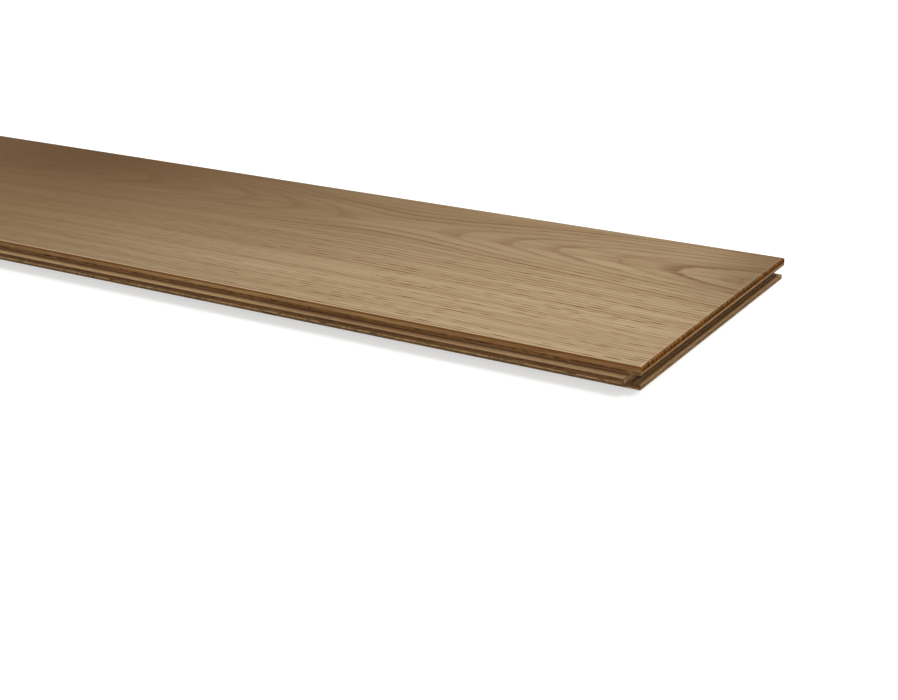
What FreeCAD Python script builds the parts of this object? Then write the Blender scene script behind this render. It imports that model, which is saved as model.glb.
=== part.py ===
import FreeCAD, Part
import math
import os

# Wide plank floorboard, in millimetres. A thick sawn oak face is glued on a core of thin plies.
# The pressed blank is then milled on its four sides: a tongue on the front long side and on the
# left end, a groove on the back long side and on the right end.
# X runs along the board, Y across it, Z up. The origin is the middle of the underside.

# The board, measured between its joint planes
board_length = 2200.0
board_width = 240.0
board_thickness = 15.0

# The layers, from the walked-on face down: the oak, then plies that share what is left
oak_thickness = 3.5
ply_count = 9
ply_thickness = (board_thickness - oak_thickness) / ply_count

# The narrow bevel round the walked-on face, and the eased lower edges
bevel = 1.0
lower_ease = 0.4

# The tongue: how far it reaches past the joint plane, its nose, the run of the slanting belly
# behind the nose, and the play it has all round
long_reach = 8.2
end_reach = 7.0
nose_height = 2.9
nose_radius = 0.8
belly_run = 0.8
joint_clearance = 0.12
body_setback = 0.4

# The groove: its lips, its root and the ridge on its lower lip
upper_lip_depth = 5.4
root_clearance = 0.3
root_radius = 0.5
lip_thickness = 3.3
long_lip_setback = 2.5
end_lip_setback = 0.4
ridge_height = 1.1
ridge_slope = 0.5
ridge_crown = 0.9
lock_height = 0.35
lock_run = 0.3
valley_width = 0.7

# Depths of the joint below the walked-on face
nose_depth = upper_lip_depth + nose_height
lip_depth = board_thickness - lip_thickness
crown_depth = lip_depth - ridge_height
valley_depth = crown_depth + lock_height


# Distances of the valley and the ridge from the joint plane, from the belly's foot outwards.
# They follow the reach, so a longer tongue keeps its belly and has a longer flat before the ridge.

def lip_stations(reach):
    valley_end = reach - belly_run
    lock_foot = valley_end - valley_width
    ridge_end = lock_foot - lock_run
    ridge_start = ridge_end - ridge_crown
    ridge_foot = ridge_start - ridge_slope
    return ridge_foot, ridge_start, ridge_end, lock_foot, valley_end


# A closed outline of straight runs, in which a corner with a radius becomes a tangent arc

def rounded_outline(corners):
    points = [FreeCAD.Vector(u, v, 0) for u, v, radius in corners]
    starts, ends, arcs = [], [], []
    for i, (u, v, radius) in enumerate(corners):
        corner = points[i]
        back = (points[i - 1] - corner).normalize()
        ahead = (points[(i + 1) % len(points)] - corner).normalize()
        if radius == 0:
            starts.append(corner)
            ends.append(corner)
            arcs.append(None)
            continue
        half = back.getAngle(ahead) / 2
        bisector = (back + ahead).normalize()
        centre = corner + bisector * (radius / math.sin(half))
        run = radius / math.tan(half)
        starts.append(corner + back * run)
        ends.append(corner + ahead * run)
        arcs.append(centre - bisector * radius)
    edges = []
    for i, middle in enumerate(arcs):
        if middle is not None:
            edges.append(Part.Arc(starts[i], middle, ends[i]).toShape())
        edges.append(Part.LineSegment(ends[i], starts[(i + 1) % len(arcs)]).toShape())
    return Part.Wire(edges)


# The tongue side, from the walked-on face down to the underside.
# The tongue has a flat top and a slanting belly, and a notch behind the belly takes the ridge.

def tongue_corners(reach):
    gap = joint_clearance
    ridge_foot, ridge_start, ridge_end, lock_foot, valley_end = lip_stations(reach)
    return [
        (bevel, 0, 0),
        (0, bevel, 0),
        (0, upper_lip_depth + gap, 0),
        (-reach, upper_lip_depth + gap, nose_radius),
        (-reach, nose_depth - gap, nose_radius),
        (-valley_end + gap, valley_depth - gap, 0),
        (-lock_foot - gap, valley_depth - gap, 0),
        (-ridge_end - gap, crown_depth - gap, 0),
        (-ridge_start + gap, crown_depth - gap, 0),
        (-ridge_foot + gap, lip_depth - gap, 0),
        (body_setback, lip_depth - gap, 0),
        (body_setback, board_thickness, lower_ease),
    ]


# The groove side, from the underside up to the walked-on face.
# The lower lip carries a low ridge that drops behind the belly of the neighbour's tongue.

def groove_corners(reach, lip_setback):
    root = reach + root_clearance
    ridge_foot, ridge_start, ridge_end, lock_foot, valley_end = lip_stations(reach)
    return [
        (-lip_setback, board_thickness, lower_ease),
        (-lip_setback, lip_depth, 0),
        (-ridge_foot, lip_depth, 0),
        (-ridge_start, crown_depth, 0),
        (-ridge_end, crown_depth, 0),
        (-lock_foot, valley_depth, 0),
        (-valley_end, valley_depth, 0),
        (-root, nose_depth, root_radius),
        (-root, upper_lip_depth, root_radius),
        (0, upper_lip_depth, 0),
        (0, bevel, 0),
        (-bevel, 0, 0),
    ]


# The section between two opposite sides: u is 0 at the tongue's joint plane and span at the groove's

def section(span, reach, lip_setback):
    corners = tongue_corners(reach)
    corners += [(span + u, depth, radius) for u, depth, radius in groove_corners(reach, lip_setback)]
    return Part.Face(rounded_outline([(u, board_thickness - depth, radius) for u, depth, radius in corners]))


# The milled blank: what both passes of the cutters leave. Each tongue stops at the root of the
# groove that it would otherwise cross.

def milled_blank():
    cover = board_length + board_width
    end_root = board_length - end_reach - root_clearance
    long_root = board_width - long_reach - root_clearance
    along = section(board_width, long_reach, long_lip_setback)
    along.rotate(FreeCAD.Vector(0, 0, 0), FreeCAD.Vector(1, 1, 1), 120)
    along.translate(FreeCAD.Vector(-cover, 0, 0))
    long_pass = along.extrude(FreeCAD.Vector(2 * cover, 0, 0))
    across = section(board_length, end_reach, end_lip_setback)
    across.rotate(FreeCAD.Vector(0, 0, 0), FreeCAD.Vector(1, 0, 0), 90)
    across.translate(FreeCAD.Vector(0, cover, 0))
    end_pass = across.extrude(FreeCAD.Vector(0, -2 * cover, 0))
    past_end_root = Part.makeBox(cover, cover, board_thickness, FreeCAD.Vector(end_root, -cover, 0))
    past_long_root = Part.makeBox(cover, cover, board_thickness, FreeCAD.Vector(-cover, long_root, 0))
    blank = long_pass.common(end_pass).cut([past_end_root, past_long_root])
    middle = FreeCAD.Vector((end_reach - board_length) / 2, (long_reach - board_width) / 2, 0)
    blank.translate(middle)
    return blank


# One layer of the blank between two depths

def layer(blank, top_depth, bottom_depth):
    cover = board_length + board_width
    corner = FreeCAD.Vector(-cover / 2, -cover / 2, board_thickness - bottom_depth)
    slab = Part.makeBox(cover, cover, bottom_depth - top_depth, corner)
    return blank.common(slab)


def ply_name(number):
    return "backing_ply" if number == ply_count else "core_ply_%d" % number


os.makedirs("parts", exist_ok=True)
board = milled_blank()
layers = {"oak_wear_layer": layer(board, 0, oak_thickness)}
for number in range(1, ply_count + 1):
    top = oak_thickness + (number - 1) * ply_thickness
    layers[ply_name(number)] = layer(board, top, top + ply_thickness)
for name, shape in layers.items():
    shape.exportStep("parts/%s.step" % name)
    print(name, len(shape.Solids), "solids", round(shape.Volume / 1000), "cm3", shape.BoundBox)
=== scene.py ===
# %% [markdown]
# # A wide engineered oak floorboard
# The packed board comes in as a fixed frame: one oak face and nine thin plies, already milled with
# their tongues and grooves. This lesson gives every layer its wood, and sets up the floor, the
# lamps and the camera. All lengths are in metres.

# %% Load the board
import bpy
import math
from mathutils import Matrix, Vector


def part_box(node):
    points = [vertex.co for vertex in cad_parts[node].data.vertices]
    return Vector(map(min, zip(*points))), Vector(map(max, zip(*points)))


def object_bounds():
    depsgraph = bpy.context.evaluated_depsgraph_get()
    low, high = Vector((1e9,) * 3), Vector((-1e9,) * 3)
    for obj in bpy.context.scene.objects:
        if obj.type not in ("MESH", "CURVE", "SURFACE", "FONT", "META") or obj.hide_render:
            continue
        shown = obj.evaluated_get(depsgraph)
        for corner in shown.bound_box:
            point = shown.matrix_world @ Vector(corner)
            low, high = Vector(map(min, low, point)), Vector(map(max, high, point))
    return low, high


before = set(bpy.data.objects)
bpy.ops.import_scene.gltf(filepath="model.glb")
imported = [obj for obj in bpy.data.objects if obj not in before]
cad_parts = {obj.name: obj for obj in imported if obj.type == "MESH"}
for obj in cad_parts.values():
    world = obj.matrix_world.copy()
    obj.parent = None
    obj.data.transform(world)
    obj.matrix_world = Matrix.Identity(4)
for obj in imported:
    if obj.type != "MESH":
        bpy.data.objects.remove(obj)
cad_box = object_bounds()
print("layers:", ", ".join(sorted(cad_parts)))

# %% [markdown]
# ## Sizes that the wood needs to know
# The bevel, the oak's edges and the plies' heights decide where oil gathers and where glue lines
# run. The bevel's width is given here. The rest is read from the boxes of the layers, so the wood
# follows the board when it changes.

# %% Read the layers' boxes
millimetre = 0.001
bevel_width = 1.0 * millimetre
oak_low, oak_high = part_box("oak_wear_layer")
ply_names = sorted(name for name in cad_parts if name.startswith("core_ply_"))
ply_names.append("backing_ply")
ply_boxes = {name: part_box(name) for name in ply_names}
backing_low, backing_high = ply_boxes["backing_ply"]
print("oak %.2f mm thick" % ((oak_high[2] - oak_low[2]) / millimetre))
print("each ply %.2f mm thick" % ((backing_high[2] - backing_low[2]) / millimetre))

# %% [markdown]
# ## The camera
# The camera stands in front of the right end and looks along the board, 21 degrees down. Its focal
# length and place were worked out from the board's own edges: they have to run to the vanishing
# points that the real board's edges run to. Built from three turns, the camera stays easy to read.

# %% Place the camera
camera_place = Vector((1.4686, -0.9445, 0.3717))
heading = math.radians(120.909)
downward = math.radians(20.986)
roll = math.radians(0.537)
sensor_width = 36.0
focal_length = 66.35
nearest_seen = 0.01

camera_data = bpy.data.cameras.new("camera")
camera_data.sensor_width = sensor_width
camera_data.lens = focal_length
camera_data.clip_start = nearest_seen
camera = bpy.data.objects.new("camera", camera_data)
turn = Matrix.Rotation(heading - math.pi / 2, 4, "Z")
turn = turn @ Matrix.Rotation(math.pi / 2 - downward, 4, "X") @ Matrix.Rotation(-roll, 4, "Z")
camera.matrix_world = Matrix.Translation(camera_place) @ turn
bpy.context.scene.collection.objects.link(camera)
bpy.context.scene.camera = camera
bpy.context.scene.view_settings.view_transform = "Standard"
print("camera at", [round(value, 3) for value in camera_place])

# %% [markdown]
# ## Colours as a screen gives them
# Tones of wood are easiest to compare as the 0 to 255 values that a screen shows. Blender mixes
# colours in linear light, so each tone is turned into that once, and the rest of the lesson can
# speak in screen values.

# %% Turn screen values into linear light
def colour(red, green, blue):
    """A colour given in 0 to 255 screen values, as the linear colour that Blender mixes."""
    offset, power = 0.055, 2.4
    linear = [((value / 255 + offset) / (1 + offset)) ** power for value in (red, green, blue)]
    return (*linear, 1.0)


print("screen grey 128 in linear light: %.3f" % colour(128, 128, 128)[0])

# %% [markdown]
# ## A small helper for wiring nodes
# Wood needs many small sums: distances, repeats and masks. Writing each node by hand would hide the
# idea behind the wiring, so one helper adds a node, sets it and wires its inputs in a single call.

# %% The wiring helper
class Wiring:
    def __init__(self, tree):
        self.tree = tree

    def feed(self, socket, value):
        if isinstance(value, bpy.types.NodeSocket):
            self.tree.links.new(value, socket)
        else:
            socket.default_value = value

    def node(self, kind, inputs=(), **settings):
        made = self.tree.nodes.new(kind)
        for name, value in settings.items():
            setattr(made, name, value)
        for name, value in dict(inputs).items():
            self.feed(made.inputs[name], value)
        return made

    def math(self, operation, *values, clamp=False):
        made = self.node("ShaderNodeMath", operation=operation, use_clamp=clamp)
        for socket, value in zip(made.inputs, values):
            self.feed(socket, value)
        return made.outputs[0]

    def band(self, value, start, end, low=0.0, high=1.0):
        """Goes smoothly from low to high while value goes from start to end."""
        made = self.node("ShaderNodeMapRange", interpolation_type="SMOOTHSTEP")
        for socket, number in zip(made.inputs, (value, start, end, low, high)):
            self.feed(socket, number)
        return made.outputs[0]

    def mix(self, factor, first, second, blend="MIX"):
        """Mixes two colours. A Mix node has sockets for every kind of data, hence the numbers."""
        made = self.node("ShaderNodeMix", data_type="RGBA", blend_type=blend)
        for number, value in ((0, factor), (6, first), (7, second)):
            self.feed(made.inputs[number], value)
        return made.outputs[2]

    def split(self, vector):
        return self.node("ShaderNodeSeparateXYZ", {"Vector": vector}).outputs

    def join(self, x, y, z):
        return self.node("ShaderNodeCombineXYZ", {"X": x, "Y": y, "Z": z}).outputs[0]

    def stretch(self, vector, sizes, shift=(0.0, 0.0, 0.0)):
        """Coordinates in which a patch of the given three sizes in metres is one unit large."""
        scale = [1 / size for size in sizes]
        made = self.node("ShaderNodeMapping", {"Vector": vector, "Scale": scale, "Location": shift})
        return made.outputs[0]

    def noise(self, vector, detail=2.0, roughness=0.5):
        inputs = {"Vector": vector, "Scale": 1.0, "Detail": detail, "Roughness": roughness}
        return self.node("ShaderNodeTexNoise", inputs).outputs["Fac"]


print("wiring helper:", ", ".join(name for name in vars(Wiring) if not name.startswith("_")))

# %% [markdown]
# ## Groups for what several woods share
# The oak and the plies have the same kind of pores, fibres and edge masks, for oil, painted
# highlights and painted shade, but not of the same size. A node group is built once and placed in
# each material with values of its own, so a change to the pattern reaches every wood. The rings get
# a group too, which keeps their sums together.

# %% The helper that starts a group
def new_group(name, inputs, outputs):
    """A shader node group with inputs given as name: default, and with named outputs."""
    tree = bpy.data.node_groups.new(name, "ShaderNodeTree")
    for title, default in inputs.items():
        kind = "NodeSocketVector" if isinstance(default, tuple) else "NodeSocketFloat"
        socket = tree.interface.new_socket(title, in_out="INPUT", socket_type=kind)
        socket.default_value = default
    for title in outputs:
        tree.interface.new_socket(title, in_out="OUTPUT", socket_type="NodeSocketFloat")
    wiring = Wiring(tree)
    print(name, "takes", ", ".join(inputs), "and gives", ", ".join(outputs))
    return wiring, wiring.node("NodeGroupInput").outputs, wiring.node("NodeGroupOutput").inputs


# %% [markdown]
# ## Growth rings: the pith
# The oak face is a flat slice of a tree, so its figure is not a picture laid on the surface. It is
# the place where the slice cuts the tree's rings. A solid pattern gives that for free: each point's
# distance from the tree's pith, counted in ring widths. The pith runs beside and below the board
# and bows a little, and where it comes nearer the rings open into long arches. The same sum draws
# straight lines on the near half, short strokes on the end grain and fine lines on the sides.

# %% The distance from the pith
rings_w, given, result = new_group(
    "growth_rings",
    {"Vector": (0.0, 0.0, 0.0), "Pith Y": 0.0, "Pith Depth": 0.07, "Ring Width": 0.003,
     "Crown X": 0.8, "Bow Length": 1.4, "Bow Depth": 0.03, "Face Height": 0.015},
    ["Ring", "Tone", "Weight"],
)
crown_softness = 0.1
wander_length, wander_width = 0.35, 0.03
noise_middle = 0.5

x, y, z = rings_w.split(given["Vector"])
from_crown = rings_w.math("SUBTRACT", x, given["Crown X"])
turn_part = rings_w.math("DIVIDE", from_crown, given["Bow Length"])
wave = rings_w.math("SINE", rings_w.math("MULTIPLY", turn_part, math.pi))
wave = rings_w.math("ADD", rings_w.math("MULTIPLY", wave, wave), crown_softness ** 2)
bow = rings_w.math("SUBTRACT", rings_w.math("SQRT", wave), crown_softness)
bow = rings_w.math("MULTIPLY", bow, given["Bow Depth"])
height = rings_w.math("SUBTRACT", z, given["Face Height"])
drop = rings_w.math("ADD", rings_w.math("SUBTRACT", given["Pith Depth"], bow), height)
only_along = rings_w.stretch(rings_w.join(x, 0.0, 0.0), (wander_length, 1, 1))
wander = rings_w.math("SUBTRACT", rings_w.noise(only_along, 1.0), noise_middle)
wander = rings_w.math("MULTIPLY", wander, wander_width)
side = rings_w.math("SUBTRACT", rings_w.math("SUBTRACT", y, given["Pith Y"]), wander)
radius = rings_w.math("SQRT", rings_w.math("ADD", rings_w.math("MULTIPLY", side, side),
                                           rings_w.math("MULTIPLY", drop, drop)))
print("distance from the pith:", len(rings_w.tree.nodes), "nodes")

# %% [markdown]
# ## Growth rings: counting them
# No tree is perfectly round, so ripples of three sizes push the distance about first. Divided by
# the width of a ring, its whole part says which ring a point lies in, and the rest says how far
# into that ring. A random value made from the ring's number gives each ring a tone and a weight.

# %% From distance to rings
# Each ripple has the size of its patches and how far it pushes the rings
ripples = [
    ((0.5, 0.09, 0.09), 0.006),
    ((0.14, 0.02, 0.02), 0.0024),
    ((0.03, 0.003, 0.003), 0.0008),
]
for ripple_size, reach in ripples:
    ripple = rings_w.noise(rings_w.stretch(given["Vector"], ripple_size), 1.0)
    push = rings_w.math("MULTIPLY", rings_w.math("SUBTRACT", ripple, noise_middle), reach)
    radius = rings_w.math("ADD", radius, push)
count = rings_w.math("DIVIDE", radius, given["Ring Width"])
rings_w.feed(result["Ring"], rings_w.math("FRACT", count))
number = rings_w.math("FLOOR", count)
random_ring = rings_w.node("ShaderNodeTexWhiteNoise", {"W": number}, noise_dimensions="1D")
rings_w.feed(result["Tone"], random_ring.outputs["Value"])
rings_w.feed(result["Weight"], rings_w.split(random_ring.outputs["Color"])[0])
rings_group = rings_w.tree
print("ring group:", len(rings_group.nodes), "nodes")

# %% [markdown]
# ## Pores and fibres
# Oak is full of vessels: thin open tubes that run with the grain. On a long face they are cut into
# fine dark dashes, and on the end they are dots. Long thin cells of a Voronoi texture do both at
# once. Fibres are the soft streaks between them, from a noise stretched the same way. One group
# serves the oak and the plies, so it takes the direction of the grain as a turned vector.

# %% The pore and fibre group
grain_w, given, result = new_group(
    "pores_and_fibres",
    {"Vector": (0.0, 0.0, 0.0), "Pore Length": 0.007, "Pore Width": 0.0005, "Pore Share": 0.3},
    ["Pores", "Fibres", "Streaks"],
)
crowd_size = (0.09, 0.008, 0.008)
fibre_size = (0.018, 0.0007, 0.0007)
streak_size = (0.16, 0.006, 0.006)
crowding_fade = 0.3, 0.7, 0.2, 1.6
pore_rim, pore_core = 0.62, 0.25

u, v, w = grain_w.split(given["Vector"])
cells = grain_w.join(grain_w.math("DIVIDE", u, given["Pore Length"]),
                     grain_w.math("DIVIDE", v, given["Pore Width"]),
                     grain_w.math("DIVIDE", w, given["Pore Width"]))
pore_cells = grain_w.node(
    "ShaderNodeTexVoronoi", {"Vector": cells, "Scale": 1.0, "Randomness": 1.0})
chance = grain_w.split(pore_cells.outputs["Color"])[0]
crowding = grain_w.noise(grain_w.stretch(given["Vector"], crowd_size), 1.0)
share = grain_w.math("MULTIPLY", given["Pore Share"], grain_w.band(crowding, *crowding_fade))
chosen = grain_w.math("LESS_THAN", chance, share)
inside = grain_w.band(pore_cells.outputs["Distance"], pore_rim, pore_core)
fibres = grain_w.noise(grain_w.stretch(given["Vector"], fibre_size), 3.0, 0.6)
streaks = grain_w.noise(grain_w.stretch(given["Vector"], streak_size), 2.0, 0.55)
grain_w.feed(result["Pores"], grain_w.math("MULTIPLY", inside, chosen))
grain_w.feed(result["Fibres"], fibres)
grain_w.feed(result["Streaks"], streaks)
grain_group = grain_w.tree
print("grain group:", len(grain_group.nodes), "nodes")

# %% [markdown]
# ## The edges: oil, painted highlights and painted shade
# On the oak, the sharp corner between the face and its narrow bevel, the arris, gets a painted
# highlight, a pale line where it catches the light, and oil gathers in the bevel and turns it
# orange brown. On the plies, the outer rim of a tongue or lip gets a painted highlight too, and its
# foot, deep in the joint, gets painted shade. All four follow from how far a point lies in from the
# sides of its layer's box, and the first two also from how far it lies below the box's top.

# %% The edge group
edge_w, given, result = new_group(
    "edge_oil_and_painted_light",
    {"Vector": (0.0, 0.0, 0.0), "Low": (0.0, 0.0, 0.0), "High": (1.0, 1.0, 1.0), "Bevel": 0.001},
    ["Bevel", "Arris Highlight", "Rim Highlight", "Foot Shade"],
)
# Every fade here counts in widths of the bevel
bevel_inset, bevel_depth, bevel_start = (1.02, 0.9), (1.5, 0.9), (0.0, 0.12)
arris_inset, arris_depth = (2.6, 1.1), (0.3, 0.05)
rim_inset, foot_inset = (1.2, 0.4), (1.5, 6.5)

point, low, high = (edge_w.split(given[name]) for name in ("Vector", "Low", "High"))
inset = edge_w.math("MINIMUM", edge_w.math("SUBTRACT", point[0], low[0]),
                    edge_w.math("SUBTRACT", high[0], point[0]))
inset_y = edge_w.math("MINIMUM", edge_w.math("SUBTRACT", point[1], low[1]),
                      edge_w.math("SUBTRACT", high[1], point[1]))
inset = edge_w.math("DIVIDE", edge_w.math("MINIMUM", inset, inset_y), given["Bevel"])
depth = edge_w.math("DIVIDE", edge_w.math("SUBTRACT", high[2], point[2]), given["Bevel"])
on_bevel = edge_w.math("MULTIPLY", edge_w.band(inset, *bevel_inset),
                       edge_w.band(depth, *bevel_depth))
on_bevel = edge_w.math("MULTIPLY", on_bevel, edge_w.band(depth, *bevel_start))
# The arris and rim masks carry painted highlights, and the foot mask carries painted shade
arris_highlight = edge_w.math("MULTIPLY", edge_w.band(inset, *arris_inset),
                         edge_w.band(depth, *arris_depth))
edge_w.feed(result["Bevel"], on_bevel)
edge_w.feed(result["Arris Highlight"], arris_highlight)
edge_w.feed(result["Rim Highlight"], edge_w.band(inset, *rim_inset))
edge_w.feed(result["Foot Shade"], edge_w.band(inset, *foot_inset))
edge_group = edge_w.tree
print("edge group:", len(edge_group.nodes), "nodes")

# %% [markdown]
# ## Starting a material
# Every layer starts from the same few nodes: a shader, and a place in the board's own coordinates.
# A wood also has to know which of its faces cut across the grain. A face's direction tells that, so
# one small helper turns the direction into a mask, and the same wood fits every side of a layer.

# %% Material helpers
long_grain_limit, end_grain_limit = 0.35, 0.85


def wood_material(name):
    material = bpy.data.materials.new(name)
    material.use_nodes = True
    wiring = Wiring(material.node_tree)
    shader = material.node_tree.nodes["Principled BSDF"]
    place = wiring.node("ShaderNodeTexCoord").outputs["Object"]
    return material, wiring, shader, place


def place_group(wiring, group, inputs):
    made = wiring.node("ShaderNodeGroup", node_tree=group)
    for title, value in inputs.items():
        wiring.feed(made.inputs[title], value)
    return made.outputs


def facing(wiring, axis):
    return wiring.split(wiring.node("ShaderNodeNewGeometry").outputs["Normal"])[axis]


def end_share(wiring, axis):
    """How much of a face is end grain: 1 where it looks along the axis, 0 where it lies with it."""
    direction = wiring.math("ABSOLUTE", facing(wiring, axis))
    return wiring.band(direction, long_grain_limit, end_grain_limit)


print("end grain: faces within %.0f degrees of the axis, fading out at %.0f" % (
    math.degrees(math.acos(end_grain_limit)), math.degrees(math.acos(long_grain_limit))))

# %% [markdown]
# ## The oak: rings, pores and edges
# One material covers the whole lamella. The start of each ring is a row of open pores, so it is
# darker there, and more pores show in it than in the dense wood. Towards the left and along the
# groove side the photo shows both fainter, so masks along and across the board weaken them there.

# %% Where the oak's rings and pores lie
oak, wire, shader, place = wood_material("oiled_oak")
rings = place_group(wire, rings_group, {
    "Vector": place, "Pith Y": 0.065, "Pith Depth": 0.0785, "Ring Width": 0.0033,
    "Crown X": 0.82, "Bow Length": 1.4, "Bow Depth": 0.038, "Face Height": oak_high[2]})
grain = place_group(wire, grain_group, {
    "Vector": place, "Pore Length": 0.015, "Pore Width": 0.0013, "Pore Share": 0.4})
edges = place_group(wire, edge_group, {
    "Vector": place, "Low": oak_low, "High": oak_high, "Bevel": bevel_width})

# A fade has a start and an end of a value, then the share at each. Places count from the middle.
early_start, early_end = (0.5, 0.05), (0.93, 1.0)
pores_by_ring = 0.1, 0.7, 0.2, 1.0
pores_across = 0.08, -0.04, 0.4, 1.0
pores_along = 0.65, 1.0, 0.4, 1.0
early_by_weight = 0.0, 1.0, 0.3, 1.0
early_along = 0.6, 0.9, 0.6, 1.0
slow_size = (0.45, 0.12, 0.12)

along, acrossways, _ = wire.split(place)
early_wood = wire.math("MAXIMUM", wire.band(rings["Ring"], *early_start),
                       wire.band(rings["Ring"], *early_end))
pores = wire.math("MULTIPLY", grain["Pores"], wire.band(early_wood, *pores_by_ring))
pores = wire.math("MULTIPLY", pores, wire.band(acrossways, *pores_across))
pores = wire.math("MULTIPLY", pores, wire.band(along, *pores_along))
early_wood = wire.math("MULTIPLY", early_wood, wire.band(rings["Weight"], *early_by_weight))
early_wood = wire.math("MULTIPLY", early_wood, wire.band(along, *early_along))
slow_tone = wire.noise(wire.stretch(place, slow_size), 2.0)
print("rings, pores and edges:", len(oak.node_tree.nodes), "nodes")

# %% [markdown]
# ## The oak: the tones of its face
# Each ring has a tone of its own, and early wood, streaks, slow changes, fine fibres and pores lie
# over it. Adding one thing at a time keeps each of them easy to change without spoiling the others.

# %% Colour the face
pale_ring, dark_ring = colour(197, 173, 136), colour(181, 154, 118)
streak_fade = 0.35, 0.75, 0.0, 0.5
slow_fade = 0.4, 0.75, 0.0, 0.4
fibre_fade = 0.35, 0.8, 0.0, 0.4
line_strength = 0.85

face = wire.mix(rings["Tone"], pale_ring, dark_ring)
for share, tone in (
    (wire.math("MULTIPLY", early_wood, line_strength), colour(116, 72, 38)),
    (wire.band(grain["Streaks"], *streak_fade), colour(146, 117, 76)),
    (wire.band(slow_tone, *slow_fade), colour(142, 114, 76)),
    (wire.band(grain["Fibres"], *fibre_fade), colour(204, 183, 144)),
    (wire.math("MULTIPLY", pores, line_strength), colour(98, 48, 20)),
):
    face = wire.mix(share, face, tone)
print("with its face:", len(oak.node_tree.nodes), "nodes")

# %% [markdown]
# ## The oak: painted shade for the light's fall-off
# The face is painted darker under the arches, towards the groove side and in its far right corner,
# and browner past the arches. This is painted shade for the light falling off across the board; how
# much of it is the wood's own tone is not known. It is made as two soft masks over the wood, each
# easy to weaken or take out.

# %% Paint the light's fall-off on the face
falloff_shade_right, falloff_shade_left, falloff_shade_strength = (1.05, 0.45), (-0.1, 0.5), 0.55
falloff_shade_across = -0.1, 0.12, 0.0, 0.44
corner_along, corner_across, corner_strength = (1.04, 1.11), (-0.08, 0.12), 0.34
falloff_tint_right, falloff_tint_left = (0.68, 0.42), (-0.4, 0.3, 0.0, 0.8)
falloff_tint_colour = (0.80, 0.71, 0.47, 1.0)

under_arches = wire.math("MULTIPLY", wire.band(along, *falloff_shade_right), wire.band(along, *falloff_shade_left))
under_arches = wire.math("MULTIPLY", under_arches, falloff_shade_strength)
falloff_shade = wire.math("ADD", under_arches, wire.band(acrossways, *falloff_shade_across))
far_corner = wire.math("MULTIPLY", wire.band(along, *corner_along),
                       wire.band(acrossways, *corner_across))
falloff_shade = wire.math("ADD", falloff_shade, wire.math("MULTIPLY", far_corner, corner_strength))
# Painted shade: darker under the arches, towards the groove side and in the far right corner
face = wire.mix(falloff_shade, face, colour(94, 64, 26))
# Painted shade: a browner multiply tint past the arches, for the light falling off to the left
falloff_tint = wire.math("MULTIPLY", wire.band(along, *falloff_tint_right), wire.band(along, *falloff_tint_left))
face = wire.mix(falloff_tint, face, falloff_tint_colour, "MULTIPLY")
print("with heart and warmth:", len(oak.node_tree.nodes), "nodes")

# %% [markdown]
# ## The oak: its sawn sides and its ends
# The sawn long sides are pale with short brown flecks, and are painted darker past the arches,
# painted shade like the face's. On the ends the cut tubes drink oil, so the end grain is a deep
# orange brown with dark upright strokes, made duller towards the groove side. The mask for end
# grain picks each of them.

# %% Colour the sides and the ends
fleck_size, fleck_fade = (0.012, 0.002, 0.0012), (0.45, 0.7, 0.0, 0.45)
side_streak_fade, side_early_strength = (0.35, 0.7), 0.4
side_shade_along = 1.0, 0.55, 0.0, 0.4
stroke_size, stroke_fade = (0.004, 0.0013, 0.006), (0.42, 0.6)
end_slow_fade = 0.4, 0.7, 0.0, 0.4
end_across = -0.1, 0.04, 0.0, 0.3

flecks = wire.noise(wire.stretch(place, fleck_size), 2.0, 0.6)
side_streaks = wire.band(grain["Streaks"], *side_streak_fade)
sawn_side = wire.mix(side_streaks, colour(220, 178, 124), colour(172, 132, 86))
for share, tone in (
    (wire.band(flecks, *fleck_fade), colour(128, 78, 40)),
    (wire.math("MULTIPLY", early_wood, side_early_strength), colour(118, 78, 40)),
    # Painted shade: the sides darker past the arches, as on the face
    (wire.band(along, *side_shade_along), colour(92, 56, 22)),
):
    sawn_side = wire.mix(share, sawn_side, tone)

strokes = wire.band(wire.noise(wire.stretch(place, stroke_size), 2.0), *stroke_fade)
dark_strokes = wire.math("MAXIMUM", early_wood, strokes)
end_grain = wire.mix(dark_strokes, colour(166, 104, 30), colour(62, 30, 3))
for share, tone in (
    (wire.band(slow_tone, *end_slow_fade), colour(88, 54, 14)),
    (wire.band(acrossways, *end_across), colour(66, 50, 32)),
):
    end_grain = wire.mix(share, end_grain, tone)
on_ends = end_share(wire, 0)
wood = wire.mix(end_share(wire, 1), face, sawn_side)
wood = wire.mix(on_ends, wood, end_grain)
print("with sides and ends:", len(oak.node_tree.nodes), "nodes")

# %% [markdown]
# ## The oak: oil and a painted arris highlight
# Oil stands in the bevels of the long sides and darkens them, and the corner above the front bevel
# gets a painted highlight, a pale line where it catches the light. Both lie over all other tones,
# so they come last.

# %% Oil the bevels and paint the arris highlight
oil_strength = 0.85
front_highlight_fade = -0.1, -0.113, 0.12, 0.7

oil = wire.mix(grain["Fibres"], colour(150, 94, 34), colour(112, 66, 20))
on_long_sides = wire.math("SUBTRACT", oil_strength, wire.math("MULTIPLY", on_ends, oil_strength))
wood = wire.mix(wire.math("MULTIPLY", edges["Bevel"], on_long_sides), wood, oil)
# Painted highlight: a pale line along the front arris where the rounded edge catches the light
painted_arris_highlight = wire.math("MULTIPLY", edges["Arris Highlight"], wire.band(acrossways, *front_highlight_fade))
wood = wire.mix(painted_arris_highlight, wood, colour(214, 192, 158))
wire.feed(shader.inputs["Base Color"], wood)
print("with oil:", len(oak.node_tree.nodes), "nodes")

# %% [markdown]
# ## The oak: sheen and relief
# Brushing has opened the soft wood a little, so fibres, pores and early wood make a bump of about a
# tenth of a millimetre. Oil leaves a weak satin sheen that is duller in the pores and on the raw
# ends.

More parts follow.
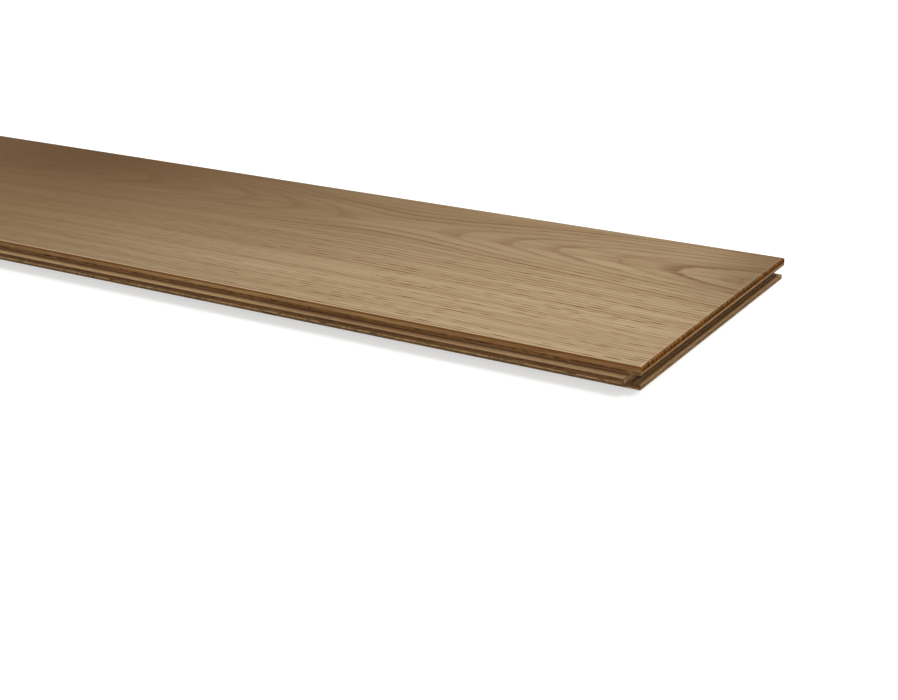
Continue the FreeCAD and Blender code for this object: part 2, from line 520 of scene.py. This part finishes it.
# %% Sheen and relief
satin_fade, satin_sheen = (0.2, 0.8, 0.5, 0.6), 0.04
pore_dullness, end_dullness = 0.25, 0.35
fibre_height, pore_depth, early_depth = 0.35, 1.0, 0.35

dullness = wire.band(grain["Fibres"], *satin_fade)
dullness = wire.math("ADD", dullness, wire.math("MULTIPLY", pores, pore_dullness))
dullness = wire.math("ADD", dullness, wire.math("MULTIPLY", on_ends, end_dullness), clamp=True)
wire.feed(shader.inputs["Roughness"], dullness)
shader.inputs["Specular IOR Level"].default_value = satin_sheen
relief = wire.math("MULTIPLY", grain["Fibres"], fibre_height)
relief = wire.math("SUBTRACT", relief, wire.math("MULTIPLY", pores, pore_depth))
relief = wire.math("SUBTRACT", relief, wire.math("MULTIPLY", early_wood, early_depth))
bump = wire.node("ShaderNodeBump", {"Height": relief, "Strength": 0.5, "Distance": 0.00012})
wire.feed(shader.inputs["Normal"], bump.outputs[0])
print("oak:", len(oak.node_tree.nodes), "nodes")

# %% [markdown]
# ## The plies: two tones of veneer
# The core is peeled veneer, laid with its grain along and across the board in turn. Where a ply is
# cut across its grain it is rough, dark end grain, and where it is cut along its grain it is pale
# and streaky. So one recipe with the grain turned by a quarter gives the light and dark bands of
# all four edges. Blotches lie over both tones, small ones on the end grain only.

# %% The veneer's colour
patch_size, small_patch_size = (0.3, 0.028, 0.01), (0.04, 0.005, 0.002)
streak_strength, torn_strength, veneer_pore_strength = 0.75, 0.7, 0.5
pale_patch_fade, dark_patch_fade = (0.45, 0.7, 0.0, 0.7), (0.45, 0.7, 0.0, 0.6)
torn_fade = 0.35, 0.7


def veneer_colour(wire, grain, end, patches, small_patches, along_tone, end_tone):
    streak_tone = wire.mix(streak_strength, along_tone, colour(128, 86, 44))
    pale = wire.mix(grain["Streaks"], along_tone, streak_tone)
    for share, tone in (
        (wire.band(grain["Fibres"], *fibre_fade), colour(208, 172, 120)),
        (wire.band(patches, *pale_patch_fade), colour(112, 72, 38)),
        (wire.math("MULTIPLY", grain["Pores"], veneer_pore_strength), colour(86, 52, 24)),
    ):
        pale = wire.mix(share, pale, tone)
    torn_tone = wire.mix(torn_strength, end_tone, colour(66, 36, 12))
    dark = wire.mix(wire.band(small_patches, *torn_fade), end_tone, torn_tone)
    dark = wire.mix(wire.band(patches, *dark_patch_fade), dark, colour(54, 28, 10))
    return wire.mix(end, pale, dark)


print("patches in the veneer: %.0f and %.0f mm long" % (
    patch_size[0] / millimetre, small_patch_size[0] / millimetre))

# %% [markdown]
# ## The plies: painted light on the joint, gaps and glue
# On the side that looks up, the outer rim of a tongue or a lip gets a painted highlight where it
# catches the light, and its foot, deep in the joint, gets painted shade. Core veneers have small
# gaps, seen as dark spots on the edges and left off the underside, which is made as a sound sheet.
# A thin dark line marks the glue between neighbours.

# %% The joint's painted light, gaps and glue
# A face's upright part is 1 where it looks up, 0 on the edges and -1 on the underside
looks_up, off_underside, off_flats = (0.2, 0.8), (-0.98, -0.9), (0.98, 0.9)
rim_highlight_strength = 0.35
gap_size, gap_fade = (0.05, 0.03, 0.004), (0.16, 0.09)
gap_share, gap_strength = 0.45, 0.85
glue_fade, glue_strength = (0.00014, 0.00003), 0.5


def paint_joint_light(wire, wood, place, upright, low, high, edge_width, foot_shade_share):
    upwards = wire.band(upright, *looks_up)
    edges = place_group(wire, edge_group, {
        "Vector": place, "Low": low, "High": high, "Bevel": edge_width})
    # Painted shade at the foot of a tongue or lip, where the wall above shades it
    foot_shade = wire.math("MULTIPLY", wire.math("MULTIPLY", edges["Foot Shade"], upwards), foot_shade_share)
    wood = wire.mix(foot_shade, wood, colour(80, 48, 22))
    # Painted highlight on the outer rim, where the light catches it
    rim_highlight = wire.math("MULTIPLY", wire.math("MULTIPLY", edges["Rim Highlight"], upwards), rim_highlight_strength)
    return wire.mix(rim_highlight, wood, colour(222, 194, 150))


def veneer_gaps(wire, with_grain, upright):
    cells = wire.node("ShaderNodeTexVoronoi", {
        "Vector": wire.stretch(with_grain, gap_size), "Scale": 1.0})
    chosen = wire.math("LESS_THAN", wire.split(cells.outputs["Color"])[1], gap_share)
    gaps = wire.math("MULTIPLY", wire.band(cells.outputs["Distance"], *gap_fade), chosen)
    return wire.math("MULTIPLY", gaps, wire.band(upright, *off_underside))


def glue_lines(wire, z, upright, low, high):
    from_glue = wire.math("MINIMUM", wire.math("SUBTRACT", z, low[2]),
                          wire.math("SUBTRACT", high[2], z))
    on_edges = wire.band(wire.math("ABSOLUTE", upright), *off_flats)
    return wire.math("MULTIPLY", wire.band(from_glue, *glue_fade), on_edges)


print("glue line: seen up to %.2f mm from a joint" % (glue_fade[0] / millimetre))

# %% [markdown]
# ## The plies: one recipe for all
# Each ply gets its own place in the log by a shift, and two tones of its own, one for faces along
# its grain and one for faces across it. Raw veneer is rougher than the oiled oak, and its end grain
# is torn.

# %% The ply material
raw_fade = 0.2, 0.8, 0.68, 0.84
raw_sheen = 0.25
least_tear = 0.35
veneer_fibre_height, veneer_pore_depth, gap_depth = 0.5, 0.5, 2.0


def ply_material(name, low, high, across, shift, tones, edge_width, foot_shade_share):
    material, wire, shader, place = wood_material(name)
    x, y, z = wire.split(place)
    with_grain = wire.join(y, x, z) if across else wire.join(x, y, z)
    with_grain = wire.stretch(with_grain, (1, 1, 1), shift)
    grain = place_group(wire, grain_group, {
        "Vector": with_grain, "Pore Length": 0.005, "Pore Width": 0.0004, "Pore Share": 0.5})
    end = end_share(wire, 1 if across else 0)
    upright = facing(wire, 2)
    patches = wire.noise(wire.stretch(with_grain, patch_size), 2.0, 0.6)
    small_patches = wire.noise(wire.stretch(with_grain, small_patch_size), 2.0, 0.6)

    wood = veneer_colour(wire, grain, end, patches, small_patches, *tones)
    wood = paint_joint_light(wire, wood, place, upright, low, high, edge_width, foot_shade_share)
    gaps = veneer_gaps(wire, with_grain, upright)
    wood = wire.mix(wire.math("MULTIPLY", gaps, gap_strength), wood, colour(34, 20, 12))
    glue = glue_lines(wire, z, upright, low, high)
    wood = wire.mix(wire.math("MULTIPLY", glue, glue_strength), wood, colour(70, 42, 24))
    wire.feed(shader.inputs["Base Color"], wood)

    wire.feed(shader.inputs["Roughness"], wire.band(grain["Fibres"], *raw_fade))
    shader.inputs["Specular IOR Level"].default_value = raw_sheen
    torn = wire.math("MULTIPLY", wire.math("ADD", end, least_tear), small_patches)
    relief = wire.math("ADD", wire.math("MULTIPLY", grain["Fibres"], veneer_fibre_height), torn)
    relief = wire.math("SUBTRACT", relief, wire.math("MULTIPLY", gaps, gap_depth))
    pore_relief = wire.math("MULTIPLY", grain["Pores"], veneer_pore_depth)
    relief = wire.math("SUBTRACT", relief, pore_relief)
    bump = wire.node("ShaderNodeBump", {"Height": relief, "Strength": 0.7, "Distance": 0.0002})
    wire.feed(shader.inputs["Normal"], bump.outputs[0])
    print(name, len(material.node_tree.nodes), "nodes")
    return material


# %% [markdown]
# ## The plies: the tone of each
# The tones follow the light and dark bands on the front side and the right end of the real board,
# so a few of them hold painted light and shade besides the veneer's own colour. A ply that none of
# them singles out has the usual pair. On the lip the painted rim highlight is narrower and the
# painted foot shade darker than on the tongue.

# %% Make the ply materials
usual_tones = colour(184, 146, 96), colour(120, 80, 40)
ply_tones = {
    "core_ply_1": (colour(208, 162, 104), colour(160, 110, 64)),
    "core_ply_2": (colour(164, 132, 88), colour(120, 80, 40)),
    # core_ply_4 is dark along its grain: painted shade under the tongue's nose, over its own tone
    "core_ply_4": (colour(98, 64, 32), colour(196, 156, 108)),
    # core_ply_5's end grain is painted pale: painted light against the shade under the tongue
    "core_ply_5": (colour(184, 146, 96), colour(218, 180, 126)),
    # core_ply_6 is dark along its grain: painted shade low on the front side, over its own tone
    "core_ply_6": (colour(120, 86, 50), colour(112, 74, 34)),
    "core_ply_8": (colour(128, 88, 56), colour(168, 128, 84)),
    "backing_ply": (colour(184, 146, 96), colour(222, 182, 128)),
}
# The width of the painted rim highlight, and the share of painted shade at the foot
tongue_edge = 1.0 * millimetre, 0.5
lip_edge = 0.6 * millimetre, 0.85
lip_height = 3.3 * millimetre
shift_step = (0.37, 0.11, 0.05)

ply_materials = {}
for number, name in enumerate(ply_names):
    low, high = ply_boxes[name]
    shift = tuple(step * number for step in shift_step)
    edge_width, foot_shade_share = lip_edge if low[2] < lip_height else tongue_edge
    ply_materials[name] = ply_material(
        name + "_wood", low, high, number % 2 == 0, shift, ply_tones.get(name, usual_tones),
        edge_width, foot_shade_share)
print("ply materials:", len(ply_materials))

# %% [markdown]
# ## Put the wood on the layers
# The layers' shapes are right as they are, so each keeps its mesh and only its material changes.

# %% Assign the materials
layer_materials = dict(ply_materials, oak_wear_layer=oak)
for name, material in layer_materials.items():
    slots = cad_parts[name].material_slots
    for slot in slots:
        slot.material = material
    print(name, "->", material.name, len(slots), "slot")

# %% [markdown]
# ## The floor
# A pale floor takes the board's soft shadow. The camera sees the floor brighter than it is, by a
# share of emission that only camera rays and reflections meet, so the ground is white and the lamps
# stay at a plain level. Close to the board that share is lower, so the shadow shows.

# %% Lay the floor
def seen_directly(wiring):
    """1 for rays that show the floor or room themselves, in the picture or in a reflection."""
    ray = wiring.node("ShaderNodeLightPath").outputs
    mirrored = wiring.math("MAXIMUM", ray["Is Glossy Ray"], ray["Is Transmission Ray"])
    return wiring.math("MAXIMUM", ray["Is Camera Ray"], mirrored)


floor_reach = 15.0
floor_grey = (0.5, 0.5, 0.49, 1.0)
whiteness_fade = 0.0, 0.09, 0.58, 0.97

floor_mesh = bpy.data.meshes.new("floor")
corners = [(-floor_reach, -floor_reach, 0), (floor_reach, -floor_reach, 0),
           (floor_reach, floor_reach, 0), (-floor_reach, floor_reach, 0)]
floor_mesh.from_pydata(corners, [], [(0, 1, 2, 3)])
floor = bpy.data.objects.new("floor", floor_mesh)
bpy.context.scene.collection.objects.link(floor)
floor_paint = bpy.data.materials.new("floor_paint")
floor_paint.use_nodes = True
wire = Wiring(floor_paint.node_tree)
paint = floor_paint.node_tree.nodes["Principled BSDF"]
paint.inputs["Base Color"].default_value = floor_grey
paint.inputs["Roughness"].default_value = 0.9
paint.inputs["Specular IOR Level"].default_value = 0.0
paint.inputs["Emission Color"].default_value = (1.0, 1.0, 1.0, 1.0)
x, y, _ = wire.split(wire.node("ShaderNodeTexCoord").outputs["Object"])
past_end = wire.math("SUBTRACT", wire.math("ABSOLUTE", x), cad_box[1][0])
past_side = wire.math("SUBTRACT", wire.math("ABSOLUTE", y), cad_box[1][1])
whiteness = wire.band(wire.math("MAXIMUM", past_end, past_side), *whiteness_fade)
glow = wire.math("MULTIPLY", seen_directly(wire), whiteness)
wire.feed(paint.inputs["Emission Strength"], glow)
floor_mesh.materials.append(floor_paint)
print("floor: %.0f m wide" % (2 * floor_reach))

# %% [markdown]
# ## The room and its lamps
# The room adds a little light from all sides and looks white where it is seen. A large soft lamp
# stands high behind the right end, a weaker one over the left end, and a low one in front fills the
# joints.

# %% Light the room
room_light, room_shown = 0.2, 0.8

room = bpy.data.worlds.new("room")
room.use_nodes = True
bpy.context.scene.world = room
wire = Wiring(room.node_tree)
background = room.node_tree.nodes["Background"]
background.inputs["Color"].default_value = (1.0, 0.99, 0.97, 1.0)
shown = wire.math("MULTIPLY", seen_directly(wire), room_shown)
wire.feed(background.inputs["Strength"], wire.math("ADD", shown, room_light))


def soft_lamp(name, place, aim, width, power):
    data = bpy.data.lights.new(name, "AREA")
    data.shape = "SQUARE"
    data.size = width
    data.energy = power
    lamp = bpy.data.objects.new(name, data)
    lamp.location = place
    direction = Vector(aim) - Vector(place)
    lamp.rotation_euler = direction.to_track_quat("-Z", "Y").to_euler()
    lamp.visible_camera = False
    bpy.context.scene.collection.objects.link(lamp)
    print(name, "%.1f m wide, %.1f W" % (width, power))


soft_lamp("key_lamp", (1.25, 1.2, 1.55), (0.8, 0.0, 0.0), 0.9, 34.0)
soft_lamp("left_lamp", (-1.2, 0.7, 1.5), (-0.9, 0.0, 0.0), 1.2, 10.5)
soft_lamp("fill_lamp", (2.0, -1.8, 0.8), (0.8, 0.0, 0.0), 1.2, 14.0)

# %% [markdown]
# ## The size
# The dressed board has to fill the same box as the packed one.
